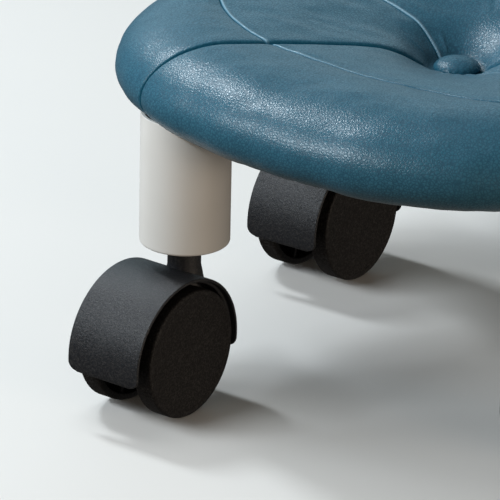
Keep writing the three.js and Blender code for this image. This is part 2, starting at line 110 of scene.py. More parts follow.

# Seams. An open seam is a slot, wider on top, between two rounded edges in a soft valley. A lapped
# seam is a narrow slot beside the raised edge of the upper leather.
# The slots get painted shade, and the raised edges a lighter colour that is partly wear and partly
# painted highlight.
slot_half = 0.3 * mm
slot_opening = 0.85 * mm
line_round = 1 * mm
dark_width = 0.62 * mm
lap_slot_half = 0.1 * mm
lap_round = 0.7 * mm
lap_lean = 0.7 * mm
lap_width = 0.58 * mm
lap_rise = 0.3 * mm
lap_dark_width = 0.3 * mm
lap_dark_share = 0.8
valley_depth = 0.3 * mm
valley_width = 3.2 * mm
crossing_depth = 0.6 * mm
crossing_width = 2.4 * mm
crease_depth = 0.8 * mm
crease_width = 2.2 * mm
crease_reach = 12 * mm
foot_depth = 1.9 * mm
foot_width = 3 * mm
foot_thinning = 0.5

# Stations at which the slot's widening, the curved seam and the lighter edges, partly wear and
# partly painted highlight, have faded out
opening_end = 1.5
arc_end = 2.4
wear_and_highlight_end = 2.9
seam_fade = 0.6

# Lighter seam edges, partly wear and partly painted highlight: degrees along the curved seam at
# which its own ends, and the faint shares
arc_wear_and_highlight_end = 132
arc_wear_and_highlight_fade = 50
arc_wear_and_highlight_least = 0.05
far_lap_wear_and_highlight = 0.15

# Unevenness of the foam, gathers along the curved seam, and pleats from a station to the fold
broad_wave_height, broad_wave_pitch = 0.22 * mm, 34 * mm
small_wave_height, small_wave_pitch = 0.07 * mm, 11 * mm
gather_height, gather_reach = 0.06 * mm, 2.6 * mm
stitch_pitch = 2.8 * mm
pleat_height = 0.22 * mm
pleat_start, pleat_length = 2.3, 0.7
pleat_count, pleat_drift, pleat_drift_count = 46, 2.2, 7
fine_pleat_count, fine_pleat_share, fine_pleat_phase = 83, 0.6, 1.1

# Fineness: columns in a turn, distance between rows, and the lengths that are divided by it
leather_columns, leather_step = ((900, 0.7 * mm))
foam_columns, foam_step = 180, 3 * mm
crater_radii = [bolt_hole, 4.5 * mm, 6.5 * mm, 8 * mm]
crater_end = 22 * mm
inner_length = 80 * mm
outer_length = 52 * mm
skirt_length = 30 * mm
fold_rows = 8
foot_row = 6
inner_stride = 9

# Air pressure that plumps the panels between their seams
air_columns = 144
air_rows = 14
air_frames = 20
air_pressure = 4
air_stretch = 15
air_shear = 5
air_lift = 1.4 * mm

# Dust cloth
dust_lap = 6 * mm
dust_leg_gap = 1.5 * mm
dust_sag = 0.15 * mm
dust_wave_height, dust_wave_pitch = 0.12 * mm, 38 * mm
dust_hem_share = 0.935
dust_shares = np.array([0.2, 0.4, 0.55, 0.7, 0.8, 0.88, 0.93, 0.94, 0.975, 1.0])
dust_columns = 240

# Legs and casters
leg_names = ["rear_right", "rear_left", "front_left", "front_right"]
leg_circle = 108 * mm
leg_radius = 17.2 * mm
leg_wall = 1.5 * mm
leg_foot_round = 1.1 * mm
leg_turns = np.radians([45, 135, 225, 315])
trail_turns = np.radians([78.3, 259.7, 258.3, 79.7])
swivel_offset = 17 * mm
wheel_radius = 25 * mm
tread_width = 8 * mm
rim_thickness = 2.6 * mm
wheel_wall = 2.4 * mm
rib_count = 5
rib_thickness = 1.6 * mm
rib_recess = 1.2 * mm
face_recess = 0.25 * mm
face_slope = 0.4 * mm
face_round = 0.3 * mm
tread_outer_round = 0.9 * mm
tread_inner_round = 0.8 * mm
rim_edge_round = 0.4 * mm
rim_root_round = 0.6 * mm
hub_root_round = 0.5 * mm
hub_edge_round = 0.4 * mm
hub_bore_round = 0.2 * mm
hood_width = 33 * mm
hood_wall = 2.4 * mm
hood_wheel_gap = 2 * mm
hood_tail_extra = 2.6 * mm
hood_tail_drop = 4.5 * mm
hood_front_drop = 6.5 * mm
hood_corner_round = 3.5 * mm
hood_edge = 0.5 * mm
hood_lip_wall = 1.1 * mm
hood_lip_depth = 2.5 * mm
hood_arch_steps = 100
hood_end_steps = 4
hood_corner_steps = 14
hood_corner_spread = 1.3
hood_corner_power = 1.6
web_thickness = 7 * mm
web_steps = 60
axle_boss_radius = 6.5 * mm
neck_radius = 6.4 * mm
neck_depth = 24 * mm
neck_flare = 1.2 * mm
neck_flare_start = 8 * mm
neck_flare_end = 14 * mm
neck_chamfer = 0.5 * mm
face_proud = 0.8 * mm
hub_radius = 6.5 * mm
axle_radius = 3 * mm
stem_radius = 4 * mm

# Studio. Each softbox faces the seat: azimuth from +X and elevation in degrees, distance, width
# and height in metres, watts, colour, and whether it is mirrored, which gives a highlight.
floor_reach = 6
floor_tones = (0.72, 0.7, 0.67, 1), (0.75, 0.73, 0.7, 1)
room_colour = (1, 0.97, 0.92, 1)
room_strength = 0.1
softboxes = {
    "back_window": (160, 46, 1.5, 0.18, 0.34, 10.5, (0.86, 0.94, 1), True),
    "side_window": (227, 35, 1.5, 0.75, 0.12, 13, (0.86, 0.94, 1), True),
    "back_card": (123, 18, 1.8, 1.9, 0.6, 3.5, (0.6, 0.88, 1), True),
    "warm_card": (345, 4, 1.2, 0.5, 0.16, 4.5, (1, 0.84, 0.68), True),
    "overhead": (180, 75, 1.6, 0.9, 0.9, 6.5, (0.92, 0.97, 1), False),
    "side_fill": (203, 14, 1.3, 0.5, 0.4, 6.5, (0.84, 0.93, 1), False),
    "low_fill": (252, 3, 1.3, 0.5, 0.12, 2, (1, 0.86, 0.7), False),
}

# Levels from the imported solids
fold_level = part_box("seat_cover")[0].z
crown_level = fold_level + cushion_height
equator_level = fold_level + skirt_height
leg_bottom, leg_top = (corner.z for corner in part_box("front_left_leg_tube"))
neck_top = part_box("front_left_caster_hood")[1].z
dust_bottom, dust_top = (corner.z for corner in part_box("dust_cover"))
base_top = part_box("seat_base")[1].z

# Sizes that follow
hood_rise = wheel_radius + hood_wheel_gap + hood_wall
hood_start = -asin(hood_tail_drop / hood_rise)
hood_end = turn / 2 + asin(hood_front_drop / hood_rise)


# Meshes

def new_object(name, points, faces, body, material, replaces, smooth_angle=35):
    """A visible piece on a body, smooth up to an angle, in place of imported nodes."""
    obj = loose(name, points, faces)
    obj.data.materials.append(material)
    obj.data.shade_smooth()
    obj.data.set_sharp_from_angle(angle=radians(smooth_angle))
    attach(obj, body)
    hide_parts(*replaces)
    return obj


def loose(name, points, faces):
    """A mesh object, turned the right way out if its signed volume is below zero."""
    mesh = bpy.data.meshes.new(name)
    mesh.from_pydata([tuple(point) for point in np.asarray(points).reshape(-1, 3)], [], faces)
    mesh.validate()
    shape = bmesh.new()
    shape.from_mesh(mesh)
    if shape.calc_volume(signed=True) < 0:
        mesh.flip_normals()
    shape.free()
    obj = bpy.data.objects.new(name, mesh)
    bpy.context.collection.objects.link(obj)
    return obj


def grid_faces(rows, columns, close_rows=False):
    """Quads between rings of points; the columns close on themselves."""
    faces = []
    for i in range(rows if close_rows else rows - 1):
        here = i * columns
        there = ((i + 1) % rows) * columns
        for j in range(columns):
            k = (j + 1) % columns
            faces.append((here + j, here + k, there + k, there + j))
    return faces


def capped_faces(rows, columns, first_pole, last_pole):
    """A grid with a fan from its first and last ring to a pole each."""
    faces = grid_faces(rows, columns)
    last = (rows - 1) * columns
    for j in range(columns):
        k = (j + 1) % columns
        faces.append((first_pole, k, j))
        faces.append((last + j, last + k, last_pole))
    return faces


def turned(profile, steps):
    """A lathe body about Z from a closed list of (radius, level), with poles at a radius of 0."""
    points, rings, faces = [], [], []
    for radius, level in profile:
        count = steps if radius > 0 else 1
        rings.append(range(len(points), len(points) + count))
        for j in range(count):
            angle = turn * j / steps
            points.append((radius * cos(angle), radius * sin(angle), level))
    pairs = list(zip(rings, rings[1:]))
    if profile[0][0] > 0:
        pairs.append((rings[-1], rings[0]))
    for a, b in pairs:
        for j in range(steps if len(a) + len(b) > 2 else 0):
            k = (j + 1) % steps
            corners = a[j % len(a)], a[k % len(a)], b[k % len(b)], b[j % len(b)]
            faces.append(tuple(dict.fromkeys(corners)))
    return np.array(points), faces


def rod(radius, bottom, top, steps):
    return turned([(0, bottom), (radius, bottom), (radius, top), (0, top)], steps)


def prism(outline, bottom, top):
    """Points and faces of an upright body with one outline at two levels."""
    count = len(outline)
    points = np.array([(x, y, level) for level in (bottom, top) for x, y in outline])
    faces = [tuple(range(count)), tuple(range(2 * count - 1, count - 1, -1))]
    faces += [(j, count + j, count + (j + 1) % count, (j + 1) % count) for j in range(count)]
    return points, faces


def rounded(corners, steps=4):
    """A closed outline with its corners rounded; each corner is (x, y, radius)."""
    places = [Vector(corner[:2]) for corner in corners]
    outline = []
    for i, (_, _, radius) in enumerate(corners):
        here = places[i]
        if radius <= 0:
            outline.append(tuple(here))
            continue
        to_before = (places[i - 1] - here).normalized()
        to_after = (places[(i + 1) % len(places)] - here).normalized()
        half = to_before.angle(to_after) / 2
        reach = radius / tan(half)
        start = here + to_before * reach
        end = here + to_after * reach
        middle = here + (to_before + to_after).normalized() * (radius / sin(half))
        for step in range(steps + 1):
            point = start.lerp(end, step / steps) - middle
            outline.append(tuple(middle + point.normalized() * radius))
    return outline


def spread(start, end, count):
    """Even steps from the start, which is left out, to the end."""
    return [start + (end - start) * step / count for step in range(1, count + 1)]


def about_axis(radius, angle, level):
    return np.stack([radius * np.cos(angle), radius * np.sin(angle), level], axis=-1)


def placed(points, matrix):
    flat = np.asarray(points).reshape(-1, 3)
    return flat @ np.array(matrix.to_3x3()).T + np.array(matrix.translation)


def combine(obj, other, operation="UNION"):
    """Joins one closed mesh to another, or cuts it, and throws the other away."""
    modifier = obj.modifiers.new("combine", "BOOLEAN")
    modifier.operation = operation
    modifier.solver = "MANIFOLD"
    modifier.object = other
    bpy.context.view_layer.update()
    evaluated = obj.evaluated_get(bpy.context.evaluated_depsgraph_get())
    mesh = bpy.data.meshes.new_from_object(evaluated)
    obj.modifiers.clear()
    old = obj.data
    obj.data = mesh
    bpy.data.meshes.remove(old)
    bpy.data.objects.remove(other)


# Materials

class Nodes:
    """A node material in the making: each call adds a node and returns its output."""

    def __init__(self, name):
        self.material = bpy.data.materials.new(name)
        self.material.use_nodes = True
        self.tree = self.material.node_tree
        self.tree.nodes.clear()
        self.shader = self.tree.nodes.new("ShaderNodeBsdfPrincipled")
        output = self.tree.nodes.new("ShaderNodeOutputMaterial")
        self.tree.links.new(self.shader.outputs["BSDF"], output.inputs["Surface"])
        self.place = self.tree.nodes.new("ShaderNodeTexCoord").outputs["Object"]

    def add(self, kind, output=0, inputs=None, **settings):
        node = self.tree.nodes.new(kind)
        for key, value in settings.items():
            setattr(node, key, value)
        for key, value in (inputs or {}).items():
            self.feed(node.inputs[key], value)
        return node.outputs[output]

    def feed(self, socket, value):
        if isinstance(value, bpy.types.NodeSocket):
            self.tree.links.new(value, socket)
        else:
            socket.default_value = value

    def finished(self, base, rough, **values):
        """The material with these values on its shader."""
        values.update(Base_Color=base, Roughness=rough)
        for key, value in values.items():
            self.feed(self.shader.inputs[key.replace("_", " ")], value)
        return self.material

    def noise(self, scale, detail=3, roughness=0.55, vector=None, output="Fac"):
        inputs = {"Vector": vector or self.place, "Scale": scale, "Detail": detail}
        return self.add("ShaderNodeTexNoise", output, {**inputs, "Roughness": roughness})

    def cells(self, scale, feature="F1", vector=None, randomness=1.0):
        inputs = {"Vector": vector or self.place, "Scale": scale, "Randomness": randomness}
        return self.add("ShaderNodeTexVoronoi", "Distance", inputs, feature=feature)

    def math(self, operation, a, b):
        return self.add("ShaderNodeMath", 0, {0: a, 1: b}, operation=operation)

    def ramp(self, value, low, high, start=0.0, end=1.0):
        inputs = {"Value": value, "From Min": low, "From Max": high, "To Min": start, "To Max": end}
        return self.add("ShaderNodeMapRange", 0, inputs, clamp=True)

    def mix(self, share, a, b):
        return self.add("ShaderNodeMix", 2, {"Factor": share, 6: a, 7: b}, data_type="RGBA")

    def bump(self, height, distance, strength, normal=None):
        inputs = {"Height": height, "Distance": distance, "Strength": strength}
        if normal:
            inputs["Normal"] = normal
        return self.add("ShaderNodeBump", 0, inputs)

    def stretched(self, x, y, z, turn_z=0.0):
        inputs = {"Vector": self.place, "Scale": (x, y, z), "Rotation": (0, 0, turn_z)}
        return self.add("ShaderNodeMapping", 0, inputs)

    def bent(self, scale, share):
        """Places shifted a little by a noise, so that cells lose their straight edges."""
        warp = self.noise(scale, 2, output="Color")
        return self.add("ShaderNodeMix", 1, {0: share, 4: self.place, 5: warp}, data_type="VECTOR")

    def attribute(self, name):
        return self.add("ShaderNodeAttribute", "Fac", attribute_name=name)


def rgb(red, green, blue):
    """A display colour from 0 to 255 as the shader's linear colour."""
    linear = [(c / 12.92 if c <= 0.04045 else ((c + 0.055) / 1.055) ** 2.4)
              for c in (red / 255, green / 255, blue / 255)]
    return (*linear, 1)


def leather_material():
    """Teal coated leather: pebbled grain, finer pits and long wrinkles, with painted shade in the
    seams and lighter seam edges, partly wear and partly painted highlight.
    """
    nodes = Nodes("teal_leather")
    bent = nodes.bent(260, 0.0016)
    pebble = nodes.cells(820, "DISTANCE_TO_EDGE", bent)
    fine = nodes.cells(1900, "DISTANCE_TO_EDGE", bent)
    wrinkle = nodes.noise(620, 4, 0.65, nodes.stretched(1, 0.34, 0.7, radians(-20)))
    tone = nodes.noise(18, 3)
    cloud = nodes.noise(110, 3)
    pits = nodes.ramp(pebble, 0.0, 0.2, 1, 0)
    base = nodes.mix(tone, rgb(44, 91, 109), rgb(52, 100, 119))
    base = nodes.mix(nodes.ramp(cloud, 0.4, 0.75, 0, 0.4), base, rgb(44, 92, 108))
    base = nodes.mix(nodes.math("MULTIPLY", pits, 0.7), base, rgb(18, 58, 79))
    base = nodes.mix(nodes.ramp(wrinkle, 0.55, 0.75, 0, 0.3), base, rgb(70, 118, 140))
    # Lighter seam edges: partly wear, partly painted highlight
    base = nodes.mix(nodes.attribute("edge_wear_and_highlight"), base, rgb(120, 156, 174))
    # Painted shade in the seam slots and on the button's lower part
    base = nodes.mix(nodes.attribute("painted_shade"), base, rgb(8, 84, 106))
    rough = nodes.ramp(cloud, 0.3, 0.7, 0.27, 0.33)
    rough = nodes.math("ADD", rough, nodes.math("MULTIPLY", pits, 0.14))
    grain = nodes.bump(nodes.ramp(pebble, 0, 0.3), 0.06 * mm, 0.8)
    grain = nodes.bump(nodes.ramp(fine, 0, 0.35), 0.02 * mm, 0.7, grain)
    grain = nodes.bump(wrinkle, 0.1 * mm, 0.7, grain)
    # No highlight where the shade is painted
    shine = nodes.ramp(nodes.attribute("painted_shade"), 0, 0.6, 0.5, 0.0)
    sheen = {"Sheen_Weight": 0.05, "Sheen_Roughness": 0.4}
    return nodes.finished(base, rough, Normal=grain, Specular_IOR_Level=shine, **sheen)


def leg_paint_material():
    nodes = Nodes("satin_paint")
    tone = nodes.noise(45, 3)
    base = nodes.mix(tone, rgb(214, 211, 205), rgb(223, 220, 215))
    peel = nodes.bump(nodes.noise(700, 2), 0.02 * mm, 0.5)
    peel = nodes.bump(nodes.noise(2600, 2), 0.008 * mm, 0.5, peel)
    rough = nodes.ramp(tone, 0.3, 0.7, 0.38, 0.48)
    return nodes.finished(base, rough, Normal=peel, Specular_IOR_Level=0.45)


def moulded_nylon(name, dark, light, rough, texture, shine):
    """Moulded nylon with a spark-eroded skin, faint scuffs and a cloudy tone."""
    nodes = Nodes(name)
    tone = nodes.noise(60, 3)
    spark = nodes.noise(1500, 4, 0.75)
    scuff = nodes.noise(170, 4, 0.7, nodes.stretched(1, 1, 5))
    fleck = nodes.noise(1250, 3, 0.75)
    base = nodes.mix(tone, dark, light)
    base = nodes.mix(nodes.ramp(scuff, 0.6, 0.8, 0, 0.3), base, rgb(74, 76, 80))
    base = nodes.mix(nodes.ramp(fleck, 0.46, 0.64, 0, 0.7), base, rgb(60, 58, 57))
    skin = nodes.bump(spark, texture, 0.9)
    skin = nodes.bump(nodes.noise(300, 2), 0.02 * mm, 0.5, skin)
    rough = nodes.ramp(spark, 0.3, 0.7, rough - 0.08, rough + 0.08)
    return nodes.finished(base, rough, Normal=skin, Specular_IOR_Level=shine)


def steel_material(name, colour, rough):
    nodes = Nodes(name)
    brushed = nodes.noise(600, 3, 0.6, nodes.stretched(1, 1, 0.08))
    base = nodes.mix(nodes.noise(80, 2), colour, rgb(150, 152, 155))
    rough = nodes.ramp(brushed, 0.3, 0.7, rough - 0.08, rough + 0.1)
    grain = nodes.bump(brushed, 0.01 * mm, 0.4)
    return nodes.finished(base, rough, Metallic=0.9, Normal=grain)


def plywood_material():
    nodes = Nodes("plywood")
    wave = {"Vector": nodes.place, "Scale": 95, "Distortion": 1.2, "Detail": 2}
    plies = nodes.add("ShaderNodeTexWave", "Fac", wave, bands_direction="Z")
    fibre = nodes.noise(180, 4, 0.6, nodes.stretched(0.12, 1, 1))
    base = nodes.mix(fibre, rgb(176, 134, 88), rgb(206, 168, 118))
    base = nodes.mix(nodes.math("MULTIPLY", plies, 0.35), base, rgb(126, 86, 50))
    return nodes.finished(base, 0.72, Normal=nodes.bump(fibre, 0.08 * mm, 0.6))


def foam_material():
    nodes = Nodes("open_foam")
    pores = nodes.cells(900)
    base = nodes.mix(pores, rgb(150, 138, 104), rgb(226, 214, 180))
    return nodes.finished(base, 0.95, Normal=nodes.bump(pores, 0.3 * mm, 0.8))


def felt_material():
    nodes = Nodes("non_woven_cloth")
    fibre = nodes.noise(900, 4, 0.7, nodes.stretched(1, 0.25, 1, 0.6))
    dots = nodes.cells(520, randomness=0.05)
    base = nodes.mix(fibre, rgb(16, 16, 18), rgb(40, 40, 42))
    embossed = nodes.bump(nodes.ramp(dots, 0.1, 0.35), 0.09 * mm, 0.8)
    return nodes.finished(base, 0.9, Normal=nodes.bump(fibre, 0.05 * mm, 0.6, embossed))


leather = leather_material()
leg_paint = leg_paint_material()
hood_nylon = moulded_nylon("hood_nylon", rgb(17, 18, 22), rgb(25, 27, 31), 0.42, 0.26 * mm, 0.55)
wheel_nylon = moulded_nylon("wheel_nylon", rgb(9, 6, 4), rgb(15, 11, 8), 0.6, 0.2 * mm, 0.3)
grey_plastic = moulded_nylon("grey_plastic", rgb(60, 61, 64), rgb(72, 73, 76), 0.5, 0.03 * mm, 0.5)
zinc = steel_material("zinc_steel", rgb(178, 180, 184), 0.34)
black_steel = steel_material("black_steel", rgb(26, 26, 28), 0.42)
plywood = plywood_material()
foam = foam_material()
felt = felt_material()


# Cushion form. Stations run from 0 at the middle over the crown to 1 at the shoulder, 2 at the
# equator, 3 at the end of the drawn-in skirt and 4 at the edge of the fold under the seat.

def rise(value, start, length):
    """0 up to the start, then evenly to 1 over the length."""
    return np.clip((value - start) / length, 0, 1)


def fade(value, end, length):
    """0 beyond the end, and 1 from the length before it."""
    return np.clip((end - value) / length, 0, 1)


def hill(distance, width):
    return np.exp(-(distance / width) ** 2)


def wrapped(angle):
    """The same direction between minus and plus half a turn."""
    return np.mod(angle + turn / 2, turn) - turn / 2


def rim_radius(angle):
    return seat_radius * (1 + lobe_share * np.cos(lobe_count * (angle - lobe_turn)))


def crown(radius, angle):
    """Level of the crown: a wide dish, and the button's hollow, longest to the front."""
    dish = np.maximum(0, 1 - np.maximum(radius, button_radius) / dish_radius)
    reach = tuft_reach * (tuft_side_share + np.maximum(0, np.cos(angle - tuft_turn)) ** 2)
    from_button = np.maximum(0, radius - button_radius) / reach
    return crown_level - dish_depth * dish ** dish_power - tuft_depth * np.exp(-(from_button ** 2))


def station(at, angle):
    """Radius, level and outward direction of the smooth cushion at a station."""
    rim = rim_radius(angle)
    shoulder = rim - shoulder_reach
    edge_drop = crown(shoulder, angle) - equator_level
    radius = at * shoulder
    level = crown(radius, angle)
    slope = (crown(radius + gap, angle) - level) / gap
    out, under = (at - 1) * (turn / 4), (at - 2) * (turn / 4)
    parts = [
        (radius, level, -slope, 1),
        (shoulder + shoulder_reach * np.sin(out), equator_level + edge_drop * np.cos(out),
         np.sin(out) / shoulder_reach, np.cos(out) / edge_drop),
        (rim - skirt_reach * (1 - np.cos(under)), equator_level - skirt_height * np.sin(under),
         np.cos(under) / skirt_reach, -np.sin(under) / skirt_height),
        (rim - skirt_reach - (at - 3) * fold_width, fold_level, 0, -1),
    ]
    part = np.searchsorted([1, 2, 3], at)
    radius, level, out_x, out_z = (np.choose(part, values) for values in zip(*parts))
    length = np.hypot(out_x, out_z)
    return radius, level, out_x / length, out_z / length


def station_at(radius, angle):
    shoulder = rim_radius(angle) - shoulder_reach
    beyond = rise(radius, shoulder, shoulder_reach)
    return np.where(radius <= shoulder, radius / shoulder, 1 + np.arcsin(beyond) / (turn / 4))


def station_step(at, angle, length):
    """A length along the crown or the shoulder as a step in stations."""
    shoulder = rim_radius(angle) - shoulder_reach
    bend = (turn / 8) * (shoulder_reach + crown(shoulder, angle) - equator_level)
    return length / np.where(at < 1, shoulder, bend)


def arc_seam_radius(angle):
    """The curved seam through its points, alike in both halves of the cushion."""
    around = np.mod(np.degrees(angle - arc_start), 180)
    turns = np.array(arc_turns)
    knots = np.concatenate([turns[-4:-1] - 180.0, turns, turns[1:4] + 180.0])
    shares = np.concatenate([arc_shares[-4:-1], arc_shares, arc_shares[1:4]])
    return smooth_through(around, knots, shares) * rim_radius(angle)


def smooth_through(x, knots, values):
    """Cubic curve through the knots with slopes from their neighbours."""
    slopes = np.gradient(values, knots)
    i = np.clip(np.searchsorted(knots, x, side="right") - 1, 0, len(knots) - 2)
    span = knots[i + 1] - knots[i]
    t = (x - knots[i]) / span
    return ((2 * t ** 3 - 3 * t ** 2 + 1) * values[i] + (t ** 3 - 2 * t ** 2 + t) * span * slopes[i]
            + (-2 * t ** 3 + 3 * t ** 2) * values[i + 1] + (t ** 3 - t ** 2) * span * slopes[i + 1])


def ripple(x, y, wavelength, phase_seed, waves=14):
    """Soft uneven waves between about -1 and 1, the same on every run."""
    random = np.random.default_rng(seed + phase_seed)
    total = np.zeros_like(x)
    for _ in range(waves):
        heading = random.uniform(0, turn)
        pitch = wavelength * random.uniform(0.7, 1.5)
        phase = random.uniform(0, turn)
        total += np.sin((x * cos(heading) + y * sin(heading)) * turn / pitch + phase)
    return total / sqrt(waves)


def panel_stations(angle):
    """Where the panels begin at the button, and where the curved seam runs."""
    return [station_at(radius, angle) for radius in (button_radius, arc_seam_radius(angle))]


def seam_span(stations, angle):
    """Stations as 0 at the button, 1 at the curved seam, 2 at the equator, 3 at the skirt's end."""
    first, seam = panel_stations(angle)
    inner = (stations - first) / (seam - first)
    outer = 1 + (stations - seam) / (2 - seam)
    return np.clip(np.where(stations < seam, inner, np.where(stations < 2, outer, stations)), 0, 3)


def station_of_span(span, angle):
    first, seam = panel_stations(angle)
    inner = first + span * (seam - first)
    outer = seam + (span - 1) * (2 - seam)
    return np.where(span < 1, inner, np.where(span < 2, outer, span))


def air_lifts():
    """How far air plumps the panels between their seams, on a coarse grid of the cushion.

    The cloth is held at the button, along every seam and at the end of the skirt.
    """
    angle = np.linspace(0, turn, air_columns, endpoint=False)
    spans, angles = np.meshgrid(np.arange(3 * air_rows + 1) / air_rows, angle, indexing="ij")
    radius, level, out_x, out_z = station(station_of_span(spans, angles), angles)
    before = about_axis(radius, angles, level).reshape(-1, 3)
    outward = about_axis(out_x, angles, out_z).reshape(-1, 3)
    poles = [(0, 0, float(level[0].mean())), (0, 0, fold_level)]
    faces = capped_faces(len(spans), air_columns, len(before), len(before) + 1)
    helper = loose("air_cushion", np.concatenate([before, poles]), faces)

    held = (spans == 0) | (spans == 1) | (spans == 3)
    for line in range(len(line_turns)):
        seam_columns = np.round(line_turn(line, radius[:, 0]) / turn * air_columns).astype(int)
        held[np.arange(len(held)), seam_columns % air_columns] = True
    pins = [int(index) for index in np.flatnonzero(held)] + [len(before), len(before) + 1]
    helper.vertex_groups.new(name="pins").add(pins, 1, "REPLACE")
    cloth = helper.modifiers.new("air", "CLOTH")
    air = cloth.settings
    air.vertex_group_mass = "pins"
    air.tension_stiffness = air.compression_stiffness = air_stretch
    air.shear_stiffness = air_shear
    air.use_pressure = True
    air.uniform_pressure_force = air_pressure
    air.effector_weights.gravity = 0
    cloth.point_cache.frame_start = 1
    cloth.point_cache.frame_end = air_frames
    scene = bpy.context.scene
    for step in range(1, air_frames + 1):
        scene.frame_set(step)
    result = helper.evaluated_get(bpy.context.evaluated_depsgraph_get()).data
    after = np.empty(len(result.vertices) * 3)
    result.vertices.foreach_get("co", after)
    bpy.data.objects.remove(helper)
    scene.frame_set(1)
    lifts = ((after.reshape(-1, 3)[:len(before)] - before) * outward).sum(axis=1)
    return (air_lift * np.tanh(lifts / air_lift)).reshape(spans.shape)


def air_at(span, angle, lifts):
    """The lift at any place, by a smooth curve through the coarse grid both ways."""
    down = span * air_rows
    along = np.mod(angle / turn, 1) * air_columns
    row, column = np.floor(down).astype(int), np.floor(along).astype(int)
    total = np.zeros_like(down)
    for i, down_weight in enumerate(curve_weights(down - row)):
        near_row = np.clip(row + i - 1, 0, len(lifts) - 1)
        for j, along_weight in enumerate(curve_weights(along - column)):
            total += down_weight * along_weight * lifts[near_row, (column + j - 1) % air_columns]
    return total


def curve_weights(t):
    """Shares of the four values about a place in a smooth curve through them."""
    return (
        (-t ** 3 + 2 * t ** 2 - t) / 2,
        (3 * t ** 3 - 5 * t ** 2 + 2) / 2,
        (-3 * t ** 3 + 4 * t ** 2 + t) / 2,
        (t ** 3 - t ** 2) / 2,
    )


def seam_roll(distance, slot, edge_round):
    """Depth of a sewn seam: two leather edges rolling into a narrow slot."""
    along = rise(distance, slot, edge_round)
    return edge_round * (1 - np.sqrt(np.clip(1 - (1 - along) ** 2, 0, 1)))


def line_turn(index, radius):
    """Direction of a seam from the button, near which it swings a little."""
    share = rise(radius, swing_start, swing_end - swing_start)
    swing = 1 - share ** 2 * (3 - 2 * share)
    rounds, line = np.divmod(np.asarray(index, int), len(line_turns))
    return np.take(line_turns, line) + turn * rounds + swing * np.take(line_swings, line)


def line_offset(angle, radius, lines):
    """Signed distance sideways from the nearest of some seams, positive counter-clockwise."""
    offsets = np.stack([wrapped(angle - line_turn(line, radius)) for line in lines])
    nearest = np.take_along_axis(offsets, np.abs(offsets).argmin(axis=0)[None], axis=0)[0]
    return radius * np.sin(np.clip(nearest, -turn / 4, turn / 4))


# Lateral places of the columns at a straight seam, and of the rows at the curved one
seam_steps = np.array([0, 0.1, 0.17, 0.24, 0.34, 0.48, 0.66, 0.9, 1.2, 1.6, 2.2, 3.0]) * mm
seam_sides = np.concatenate([-seam_steps[:0:-1], seam_steps])


def cushion_columns(per_turn):
    """Each column as two (seam, sideways place) ends and its share between them."""
    columns = []
    for line in range(len(line_turns)):
        for side in seam_sides:
            columns.append((line, side, line, side, 0.0))
        width = float(line_turn(line + 1, seat_radius) - line_turn(line, seat_radius))
        between = round(per_turn * width / turn)
        for step in range(1, between):
            columns.append((line, seam_sides[-1], line + 1, seam_sides[0], step / between))
    return np.array(columns)


def column_angles(columns, radius):
    """Angle of every column at one radius, or at a row of radii for each row of points."""
    reach = np.maximum(radius, button_radius)
    first = line_turn(columns[:, 0], reach) + columns[:, 1] / reach
    last = line_turn(columns[:, 2], reach) + columns[:, 3] / reach
    return first + (last - first) * columns[:, 4]


def seam_rows(columns, coarse):
    """Stations of each row and column from the bolt's hole out to the edge of the fold."""
    middle = column_angles(columns, seat_radius)
    shoulder = rim_radius(middle) - shoulder_reach
    seam = station_at(arc_seam_radius(middle), middle)
    crater = [*crater_radii, *np.arange(button_radius, crater_end, coarse)]
    rows = [np.full(len(columns), radius) / shoulder for radius in crater]
    sides = [seam + station_step(seam, middle, side) for side in seam_sides]
    rows += spread(rows[-1], sides[0], round(inner_length / coarse))[:-1]
    rows += sides
    rows += spread(sides[-1], 2, round(outer_length / coarse))
    for start, count in ((2, round(skirt_length / coarse)), (3, fold_rows)):
        rows += [np.full(len(columns), at) for at in spread(start, start + 1, count)]
    return np.array(rows)


